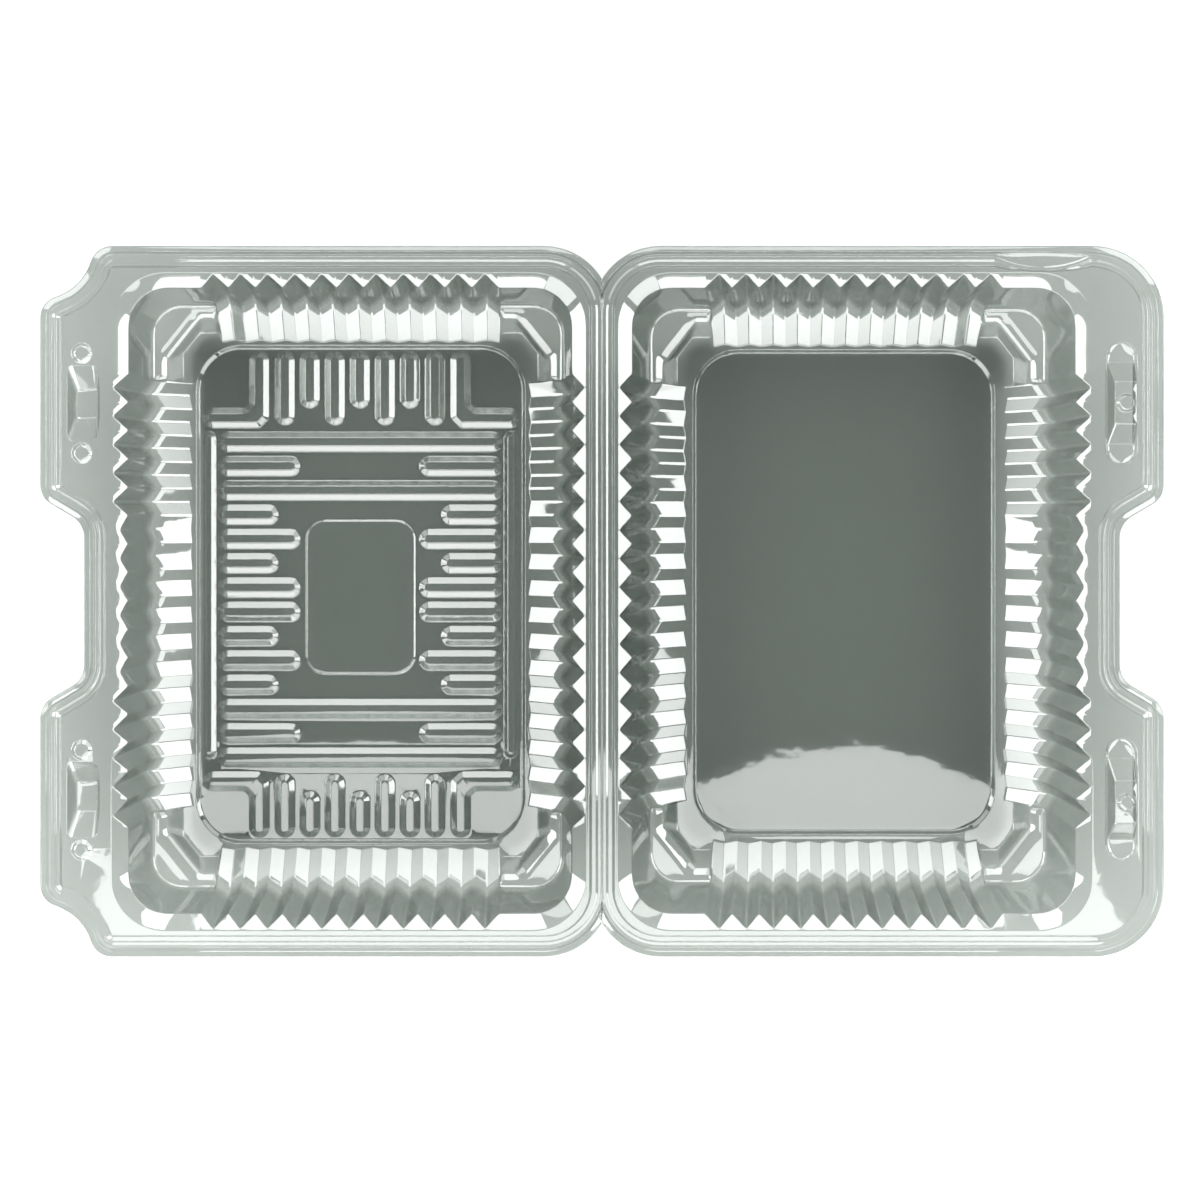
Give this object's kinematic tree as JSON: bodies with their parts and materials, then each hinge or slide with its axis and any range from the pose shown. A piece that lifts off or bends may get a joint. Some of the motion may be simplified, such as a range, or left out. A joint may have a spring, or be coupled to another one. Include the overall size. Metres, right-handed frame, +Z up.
{
  "type": "plastic clamshell pack",
  "caption": "Clear thermoformed hinged-lid food pack lying open, with fluted walls, ribbed base floor, snap lugs and troughs, and front finger recesses.",
  "frame": {"origin": "on the table, under the middle of the hinge crease of the open pack", "axes": "+X from the hinge to the front edge of the lid, +Y along the hinge, +Z up; the base tray lies towards -X"},
  "size_m": [0.338, 0.214, 0.0393],
  "materials": {
    "clear_sheet": "clear, glossy, faint grey-green"
  },
  "bodies": {
    "base": {"base_tray": "clear_sheet"},
    "lid": {"lid": "clear_sheet"}
  },
  "joints": [
    {"name": "lid_hinge", "type": "hinge", "parent": "base", "child": "lid", "pos_m": [0, 0, 0.03415], "axis": [0, -1, 0], "range_deg": [0, 180]}
  ]
}
